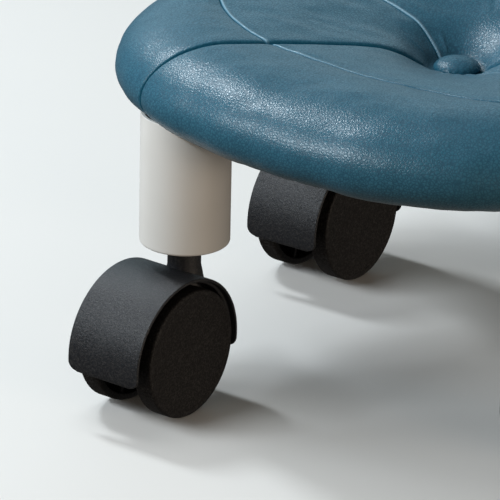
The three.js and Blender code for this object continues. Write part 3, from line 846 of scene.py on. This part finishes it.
def cushion_surface(columns, rows, lifts):
    """The leather's outer face: points, inward directions, painted shade in the seams, and lighter
    seam edges that are partly wear and partly painted highlight.
    """
    middle = column_angles(columns, seat_radius)
    angle = column_angles(columns, station(rows, middle)[0])
    radius, level, out_x, out_z = station(rows, angle)
    x, y = radius * np.cos(angle), radius * np.sin(angle)
    from_open = np.abs(line_offset(angle, radius, open_lines))
    from_lap = line_offset(angle, radius, lap_lines)
    from_arc = (rows - station_at(arc_seam_radius(angle), angle)) / station_step(rows, angle, 1)
    to_any = np.minimum(np.minimum(from_open, np.abs(from_lap)), np.abs(from_arc))
    past_button = radius - button_radius
    away = rise(past_button, 0, 2 * button_radius)
    arc_fade = fade(rows, arc_end, seam_fade) * away
    on_top = fade(rows, wear_and_highlight_end, 1)
    on_fold = rise(rows, 3, 1)

    # The open seams, the lapped seams, the soft valley about them all, and the foot of the button
    opening = slot_opening * fade(rows, opening_end, seam_fade)
    dip = seam_roll(from_open, slot_half + opening, line_round)
    dip = np.maximum(dip, seam_roll(np.abs(from_lap), lap_slot_half, lap_round))
    dip = np.maximum(dip, seam_roll(np.abs(from_arc), lap_slot_half, lap_round) * arc_fade)
    dip += valley_depth * hill(to_any, valley_width)
    dip += crossing_depth * hill(np.hypot(from_open, from_arc), crossing_width)
    past_button = np.maximum(past_button, 0)
    dip += crease_depth * hill(from_open, crease_width) * np.exp(-past_button / crease_reach) * away
    dip += foot_depth * hill(past_button, foot_width)
    dip *= 1 - on_fold

    # Air between the seams, the upper edge of each lap, and the foam's soft unevenness
    lift = air_at(seam_span(rows, angle), angle, lifts) * np.where(rows < 3, 1, 0)
    line_edge = hill(from_lap + lap_lean, lap_width)
    arc_edge = hill(from_arc + lap_lean, lap_width)
    lift += lap_rise * np.maximum(line_edge, arc_edge * arc_fade) * on_top
    lift += broad_wave_height * ripple(x, y, broad_wave_pitch, 1) * away
    lift += small_wave_height * ripple(x, y, small_wave_pitch, 2)

    # Gathers along the curved seam and pleats towards the fold
    gather = np.exp(-np.abs(from_arc) / gather_reach) * arc_fade
    lift += gather_height * np.sin(angle * radius / stitch_pitch * turn) * gather
    pleats = np.sin(angle * pleat_count + pleat_drift * np.sin(angle * pleat_drift_count))
    pleats += fine_pleat_share * np.sin(angle * fine_pleat_count + fine_pleat_phase)
    lift += pleat_height * pleats * rise(rows, pleat_start, pleat_length) ** 2 * (1 - on_fold)

    proud = lift - dip
    points = about_axis(radius + out_x * proud, angle, level + out_z * proud)
    inward = about_axis(-out_x, angle, -out_z)

    # Painted shade in the slots, and lighter edges, partly wear and partly painted highlight, faint
    # on the far lapped seam and towards the curved seam's end
    dark = hill(from_open, dark_width + opening)
    dark = np.maximum(dark, lap_dark_share * hill(from_lap, lap_dark_width))
    dark = np.maximum(dark, lap_dark_share * hill(from_arc, lap_dark_width) * arc_fade)
    around = np.mod(np.degrees(angle - arc_start), 180)
    arc_wear_and_highlight = np.maximum(fade(around, arc_wear_and_highlight_end, arc_wear_and_highlight_fade), arc_wear_and_highlight_least) * arc_fade
    line_wear_and_highlight = np.where(np.abs(wrapped(angle - line_turns[0])) < turn / 4, 1, far_lap_wear_and_highlight)
    wear_and_highlight = np.maximum(line_edge * line_wear_and_highlight, arc_edge * arc_wear_and_highlight) * (1 - dark)
    return points, inward, dark, wear_and_highlight * on_top


def set_shade(obj, name, values):
    shade = obj.data.attributes.new(name, "FLOAT", "POINT")
    shade.data.foreach_set("value", values.astype(np.float32))


def cut_legs(obj, radius, bottom, top):
    """Cuts the four legs' places out of a piece."""
    points, faces = rod(radius, bottom, top, 96)
    for index in range(len(leg_names)):
        combine(obj, loose("leg_cutter", placed(points, leg_matrix(index)), faces), "DIFFERENCE")


def leg_matrix(index):
    around = leg_turns[index]
    return Matrix.Translation((leg_circle * cos(around), leg_circle * sin(around), 0))


def seat_leather(lifts):
    """The cover with its thickness; its inner face keeps only some of the outer face's rows."""
    columns = cushion_columns(leather_columns)
    rows = seam_rows(columns, leather_step)
    face, inward, dark, wear_and_highlight = cushion_surface(columns, rows, lifts)
    fold = len(rows) - 1 - fold_rows
    kept = {0, foot_row, *range(2 * foot_row, fold - 1, inner_stride), fold, len(rows) - 1}
    past_button = np.maximum(np.hypot(face[..., 0], face[..., 1]) - button_radius, 0)
    thickness = leather_wall * (1 - foot_thinning * hill(past_button, foot_width))
    back = (face + inward * thickness[..., None])[sorted(kept, reverse=True)]
    points = np.concatenate([face, back])
    faces = grid_faces(len(points), len(columns), close_rows=True)
    obj = new_object("seat_leather", points, faces, "seat", leather, ["seat_cover"], 60)
    inner = np.zeros(back.shape[0] * back.shape[1])
    # Painted shade in the seam slots, and lighter seam edges, partly wear and partly painted
    # highlight, on the outer face only
    set_shade(obj, "painted_shade", np.concatenate([dark.ravel(), inner]))
    set_shade(obj, "edge_wear_and_highlight", np.concatenate([wear_and_highlight.ravel(), inner]))
    cut_legs(obj, leg_radius + gap, fold_level - leg_radius, leg_top + gap)


def seat_foam(lifts):
    """The foam under the cover, from the button's foot to the equator, on the plywood base."""
    columns = cushion_columns(foam_columns)
    rows = seam_rows(columns, foam_step)
    outside_foot = rows[:, 0] * (seat_radius - shoulder_reach) > button_radius + foot_width
    rows = rows[outside_foot & (rows.max(axis=1) <= 2)]
    face, inward, _, _ = cushion_surface(columns, rows, lifts)
    top = face + inward * (leather_wall + gap)
    floor_edge = top[-1].copy()
    floor_edge[:, :2] *= (seat_radius - leather_wall - foam_toe) / seat_radius
    floor_edge[:, 2] = base_top + gap
    floor_inner = top[0].copy()
    floor_inner[:, 2] = base_top + gap
    points = np.concatenate([top, floor_edge[None], floor_inner[None]])
    faces = grid_faces(len(points), len(columns), close_rows=True)
    obj = new_object("seat_foam", points, faces, "seat", foam, ["foam_pad"], 60)


def covered_button():
    """The leather-covered button: a flattened dome with a rolled lower edge."""
    bottom = float(crown(0.0, 0.0)) - foot_depth + gap
    height = button_height - button_edge
    dome = [(button_radius * cos(swing), bottom + (button_edge + height * sin(swing)))
            for swing in [0, *spread(0, turn / 4, button_steps)]]
    dome[-1] = (0, dome[-1][1])
    shank_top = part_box("button_bolt")[1].z + gap
    edge = rounded([
        (button_bore, bottom, 0), (button_radius - gap, bottom, 2 * gap),
        (button_radius, bottom + button_edge, 0),
    ])[:-1]
    points, faces = turned([(0, shank_top), (button_bore, shank_top), *edge, *dome], 120)
    angle = np.arctan2(points[:, 1], points[:, 0])
    reach = np.hypot(points[:, 0], points[:, 1]) / button_radius
    outer = rise(reach, button_gather_start, button_gather_length)
    gathers = np.sin(angle * button_gather_count + np.sin(angle * button_drift_count))
    points[:, :2] *= (1 - button_gather_depth * outer * gathers)[:, None]
    obj = new_object("covered_button", points, faces, "seat", leather, ["seat_button"],
                     50)
    # Painted shade, darkest at the button's foot and gone at the set share of its height
    shade = np.clip(1 - (points[:, 2] - bottom) / (button_shade * button_height), 0, 1)
    set_shade(obj, "painted_shade", button_dark * shade)


def dust_cloth():
    """The cloth stretched under the seat: hemmed, slightly uneven, cut out for the legs."""
    angle = np.linspace(0, turn, dust_columns, endpoint=False)
    outer = rim_radius(angle) - (skirt_reach + fold_width - dust_lap)
    rings = []
    for level, shares in ((dust_top, dust_shares), (dust_bottom, dust_shares[::-1])):
        for share in shares:
            x, y = outer * share * np.cos(angle), outer * share * np.sin(angle)
            sag = dust_wave_height * ripple(x, y, dust_wave_pitch, 5) + dust_sag
            inside = level == dust_bottom and share < dust_hem_share
            rings.append(np.stack([x, y, np.full(dust_columns, level) + inside * sag], axis=-1))
    points = np.concatenate([*rings, [[0, 0, dust_top], [0, 0, dust_bottom + dust_sag]]])
    faces = capped_faces(len(rings), dust_columns, len(points) - 2, len(points) - 1)
    obj = new_object("dust_cloth", points, faces, "seat", felt, ["dust_cover"], 40)
    cut_legs(obj, leg_radius + dust_leg_gap, dust_bottom - overrun, dust_top + overrun)


# Legs and casters

def leg_tube(index):
    """Powder-coated tube with a rolled foot and a plain top let into the seat."""
    name = leg_names[index]
    bore = leg_radius - leg_wall
    outline = rounded([
        (bore, leg_bottom, gap), (leg_radius, leg_bottom, leg_foot_round),
        (leg_radius, leg_top, gap), (bore, leg_top, gap),
    ], 6)
    points, faces = turned(outline, 128)
    points = placed(points, leg_matrix(index))
    new_object(f"{name}_leg", points, faces, "seat", leg_paint, [f"{name}_leg_tube"])


def hood_point(angle, inset, side):
    """A point of the hood's arch in the caster's own frame, drawn in by a distance."""
    half_extra = hood_tail_extra / 2
    reach = hood_rise + half_extra - inset
    level = wheel_radius + (hood_rise - inset) * sin(angle)
    return (swivel_offset + half_extra + reach * cos(angle), side, level)


def hood_angles():
    """Angles along the arch, close together over the rounded corners at both ends."""
    corner = hood_corner_spread * hood_corner_round / hood_rise
    shares = [step / hood_corner_steps for step in range(hood_corner_steps)]
    close = [corner * share ** hood_corner_power for share in shares]
    first, last = hood_start + corner, hood_end - corner
    tail, front = [hood_start + angle for angle in close], [hood_end - angle for angle in close]
    return [*tail, first, *spread(first, last, hood_arch_steps), *front[::-1]]


def corner_share(angle):
    """The hood's width at an angle, as a share, for its rounded lower corners."""
    half = hood_width / 2
    foot = hood_start if angle < turn / 4 else hood_end
    above = hood_rise * (sin(angle) - sin(foot))
    short = hood_corner_round - min(above, hood_corner_round)
    return (half - hood_corner_round + sqrt(hood_corner_round ** 2 - short ** 2)) / half


def hood_shell():
    """The arched barrel: a cross-section with thinner side lips, swept from tail to front."""
    half = hood_width / 2
    step_side = half - hood_lip_depth
    section = rounded([
        (-half, 0, hood_edge), (half, 0, hood_edge), (half, hood_lip_wall, hood_edge / 2),
        (step_side, hood_lip_wall, hood_edge / 2), (step_side, hood_wall, hood_edge),
        (-step_side, hood_wall, hood_edge), (-step_side, hood_lip_wall, hood_edge / 2),
        (-half, hood_lip_wall, hood_edge / 2),
    ])
    ends = spread(0, 1, hood_end_steps)
    places = [(hood_start, past, -1) for past in ends[::-1]]
    places += [(angle, 0, 0) for angle in hood_angles()]
    places += [(hood_end, past, 1) for past in ends]
    lip = hood_lip_wall / 2
    rings = []
    for angle, past, sign in places:
        draw = hood_edge * (1 - sqrt(1 - past ** 2))
        lean = sign * hood_edge * past / hood_rise
        narrow = corner_share(angle) * (1 - draw / half)
        for side, inset in section:
            thin = lip + (inset - lip) * (1 - draw / (lip + hood_edge))
            rings.append(hood_point(angle + lean, thin, side * narrow))
    count = len(section)
    faces = grid_faces(len(places), count)
    first = tuple(range(count))[::-1]
    last = tuple(range((len(places) - 1) * count, len(places) * count))
    return loose("hood_shell", rings, [*faces, first, last])


def side_slab(outline, thickness):
    """A plate across the caster from its outline in side view."""
    points, faces = prism(outline, -thickness / 2, thickness / 2)
    return loose("side_slab", points[:, [0, 2, 1]], faces)


def hood_web():
    """The plate between the wheels: the arch, closed by a straight lower edge."""
    angles = [hood_start, *spread(hood_start, hood_end, web_steps)]
    return side_slab([hood_point(angle, hood_wall / 2, 0)[::2] for angle in angles], web_thickness)


def neck():
    """The swivel neck, a little wider where it runs into the barrel."""
    foot = neck_top - neck_depth
    flared = neck_radius + neck_flare
    profile = [
        (0, foot), (flared, foot), (flared, neck_top - neck_flare_end),
        (neck_radius, neck_top - neck_flare_start), (neck_radius, neck_top - neck_chamfer),
        (neck_radius - neck_chamfer, neck_top), (0, neck_top),
    ]
    return loose("neck", *turned(profile, 72))


def side_disc(radius, width, steps=72):
    angles = [turn * j / steps for j in range(steps)]
    outline = [(radius * cos(angle), radius * sin(angle)) for angle in angles]
    return side_slab(np.array(outline) + (swivel_offset, wheel_radius), width)


def caster_hood_shape():
    """The whole moulded hood about its own swivel axis."""
    obj = hood_shell()
    combine(obj, hood_web())
    combine(obj, neck())
    combine(obj, side_disc(axle_boss_radius, web_thickness + 2 * gap / 3))
    bore = stem_radius + gap
    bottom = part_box("front_left_caster_stem")[0].z - gap
    top = neck_top + overrun
    combine(obj, loose("stem_bore", *rod(bore, bottom, top, 48)), "DIFFERENCE")
    combine(obj, side_disc(axle_radius + gap, hood_width, 48), "DIFFERENCE")
    return taken(obj)


def wheel_shape():
    """One wheel about its own axle: face, tread, hub, and ribs on its open inner side."""
    face = hood_width / 2 + face_proud
    inner = face - tread_width
    inner_face = face - wheel_wall
    hub_end = web_thickness / 2 + running_gap
    bore = axle_radius + gap
    rim_inner = wheel_radius - rim_thickness
    panel = rim_inner + gap
    outline = rounded([
        (bore, hub_end, hub_bore_round), (hub_radius, hub_end, hub_edge_round),
        (hub_radius, inner_face, hub_root_round), (rim_inner, inner_face, rim_root_round),
        (rim_inner, inner, rim_edge_round), (wheel_radius, inner, tread_inner_round),
        (wheel_radius, face, tread_outer_round), (panel, face, face_round),
        (panel - face_slope, face - face_recess, face_round), (bore, face - face_recess, 0),
    ])
    cap = [(0, face - face_recess), (0, inner_face - gap), (bore, inner_face - gap)]
    obj = loose("wheel", *turned([*outline[:-1], *cap], 120))

    rib_start = hub_radius - rib_thickness / 2
    rib_end = rim_inner + rim_thickness / 2
    half = rib_thickness / 2
    rib = (rib_start, -half), (rib_end, -half), (rib_end, half), (rib_start, half)
    points, faces = prism(rib, inner + rib_recess, face - wheel_wall / 2)
    for index in range(rib_count):
        spin = Matrix.Rotation(turn * index / rib_count, 4, "Z")
        combine(obj, loose("wheel_rib", placed(points, spin), faces))
    return taken(obj)


def taken(obj):
    """The points and faces of an object, which is thrown away."""
    points = np.array([tuple(vertex.co) for vertex in obj.data.vertices])
    faces = [tuple(polygon.vertices) for polygon in obj.data.polygons]
    bpy.data.objects.remove(obj)
    return points, faces


def casters():
    hood_points, hood_faces = caster_hood_shape()
    wheel_points, wheel_faces = wheel_shape()
    hub = Matrix.Translation((swivel_offset, 0, wheel_radius))
    for index, name in enumerate(leg_names):
        matrix = leg_matrix(index) @ Matrix.Rotation(trail_turns[index], 4, "Z")
        new_object(f"{name}_hood", placed(hood_points, matrix), hood_faces, f"{name}_caster",
                   hood_nylon, [f"{name}_caster_hood"], 38)
        for side, sign in (("left", -1), ("right", 1)):
            points = placed(wheel_points, matrix @ hub @ Matrix.Rotation(sign * turn / 4, 4, "X"))
            new_object(f"{name}_{side}_roller", points, wheel_faces, f"{name}_{side}_wheel",
                       wheel_nylon, [f"{name}_wheel_{side}"])


def finish_nodes():
    """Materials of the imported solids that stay."""
    looks = {"seat_base": plywood, "button_bolt": zinc, "button_nut": zinc}
    for name in leg_names:
        for part in ("leg_cap", "leg_bolt", "tee_nut", "grip_ring", "axle"):
            looks[f"{name}_{part}"] = zinc
        looks[f"{name}_leg_plug"] = grey_plastic
        looks[f"{name}_caster_stem"] = black_steel
    for node, material in looks.items():
        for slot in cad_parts[node].material_slots:
            slot.material = material


# Floor, light and camera

def studio():
    nodes = Nodes("pale_floor")
    tone = nodes.mix(nodes.noise(3, 2), *floor_tones)
    corners = np.array([(-1, -1, 0), (1, -1, 0), (1, 1, 0), (-1, 1, 0)]) * floor_reach
    floor = loose("floor", corners, [(0, 1, 2, 3)])
    floor.data.materials.append(nodes.finished(tone, 0.8, Specular_IOR_Level=0.2))
    floor.visible_glossy = False
    floor.visible_diffuse = False

    world = bpy.data.worlds.new("studio")
    bpy.context.scene.world = world
    world.use_nodes = True
    background = world.node_tree.nodes["Background"]
    background.inputs["Color"].default_value = room_colour
    background.inputs["Strength"].default_value = room_strength
    for name, settings in softboxes.items():
        softbox(name, *settings)


def softbox(name, azimuth, elevation, distance, width, height, power, colour, mirrored):
    around, above = radians(azimuth), radians(elevation)
    place = distance * Vector((
        cos(around) * cos(above), sin(around) * cos(above), sin(above),
    ))
    light = bpy.data.lights.new(name, "AREA")
    light.shape = "RECTANGLE"
    light.size, light.size_y = width, height
    light.energy = power
    light.color = colour
    lamp = bpy.data.objects.new(name, light)
    lamp.location = place + Vector((0, 0, equator_level))
    lamp.rotation_euler = (-place).to_track_quat("-Z", "Y").to_euler()
    lamp.visible_glossy = mirrored
    bpy.context.collection.objects.link(lamp)


def photo_camera():
    camera = bpy.data.cameras.new("photo_camera")
    camera.sensor_width = sensor_width
    camera.lens = focal_pixels / photo_pixels * sensor_width
    camera.clip_start, camera.clip_end = 0.1, 50
    eye = bpy.data.objects.new("photo_camera", camera)
    facing = Matrix.Rotation(camera_azimuth, 4, "Z")
    facing @= Matrix.Rotation(turn / 4 - camera_elevation, 4, "X")
    facing @= Matrix.Rotation(camera_roll, 4, "Z")
    away = Matrix.Translation((0, 0, camera_distance))
    eye.matrix_world = Matrix.Translation(camera_aim) @ facing @ away
    bpy.context.collection.objects.link(eye)
    bpy.context.scene.camera = eye
    bpy.context.scene.view_settings.view_transform = "Standard"


photo_camera()
studio()
plump = air_lifts()
seat_leather(plump)
seat_foam(plump)
covered_button()
dust_cloth()
for leg in range(len(leg_names)):
    leg_tube(leg)
casters()
finish_nodes()
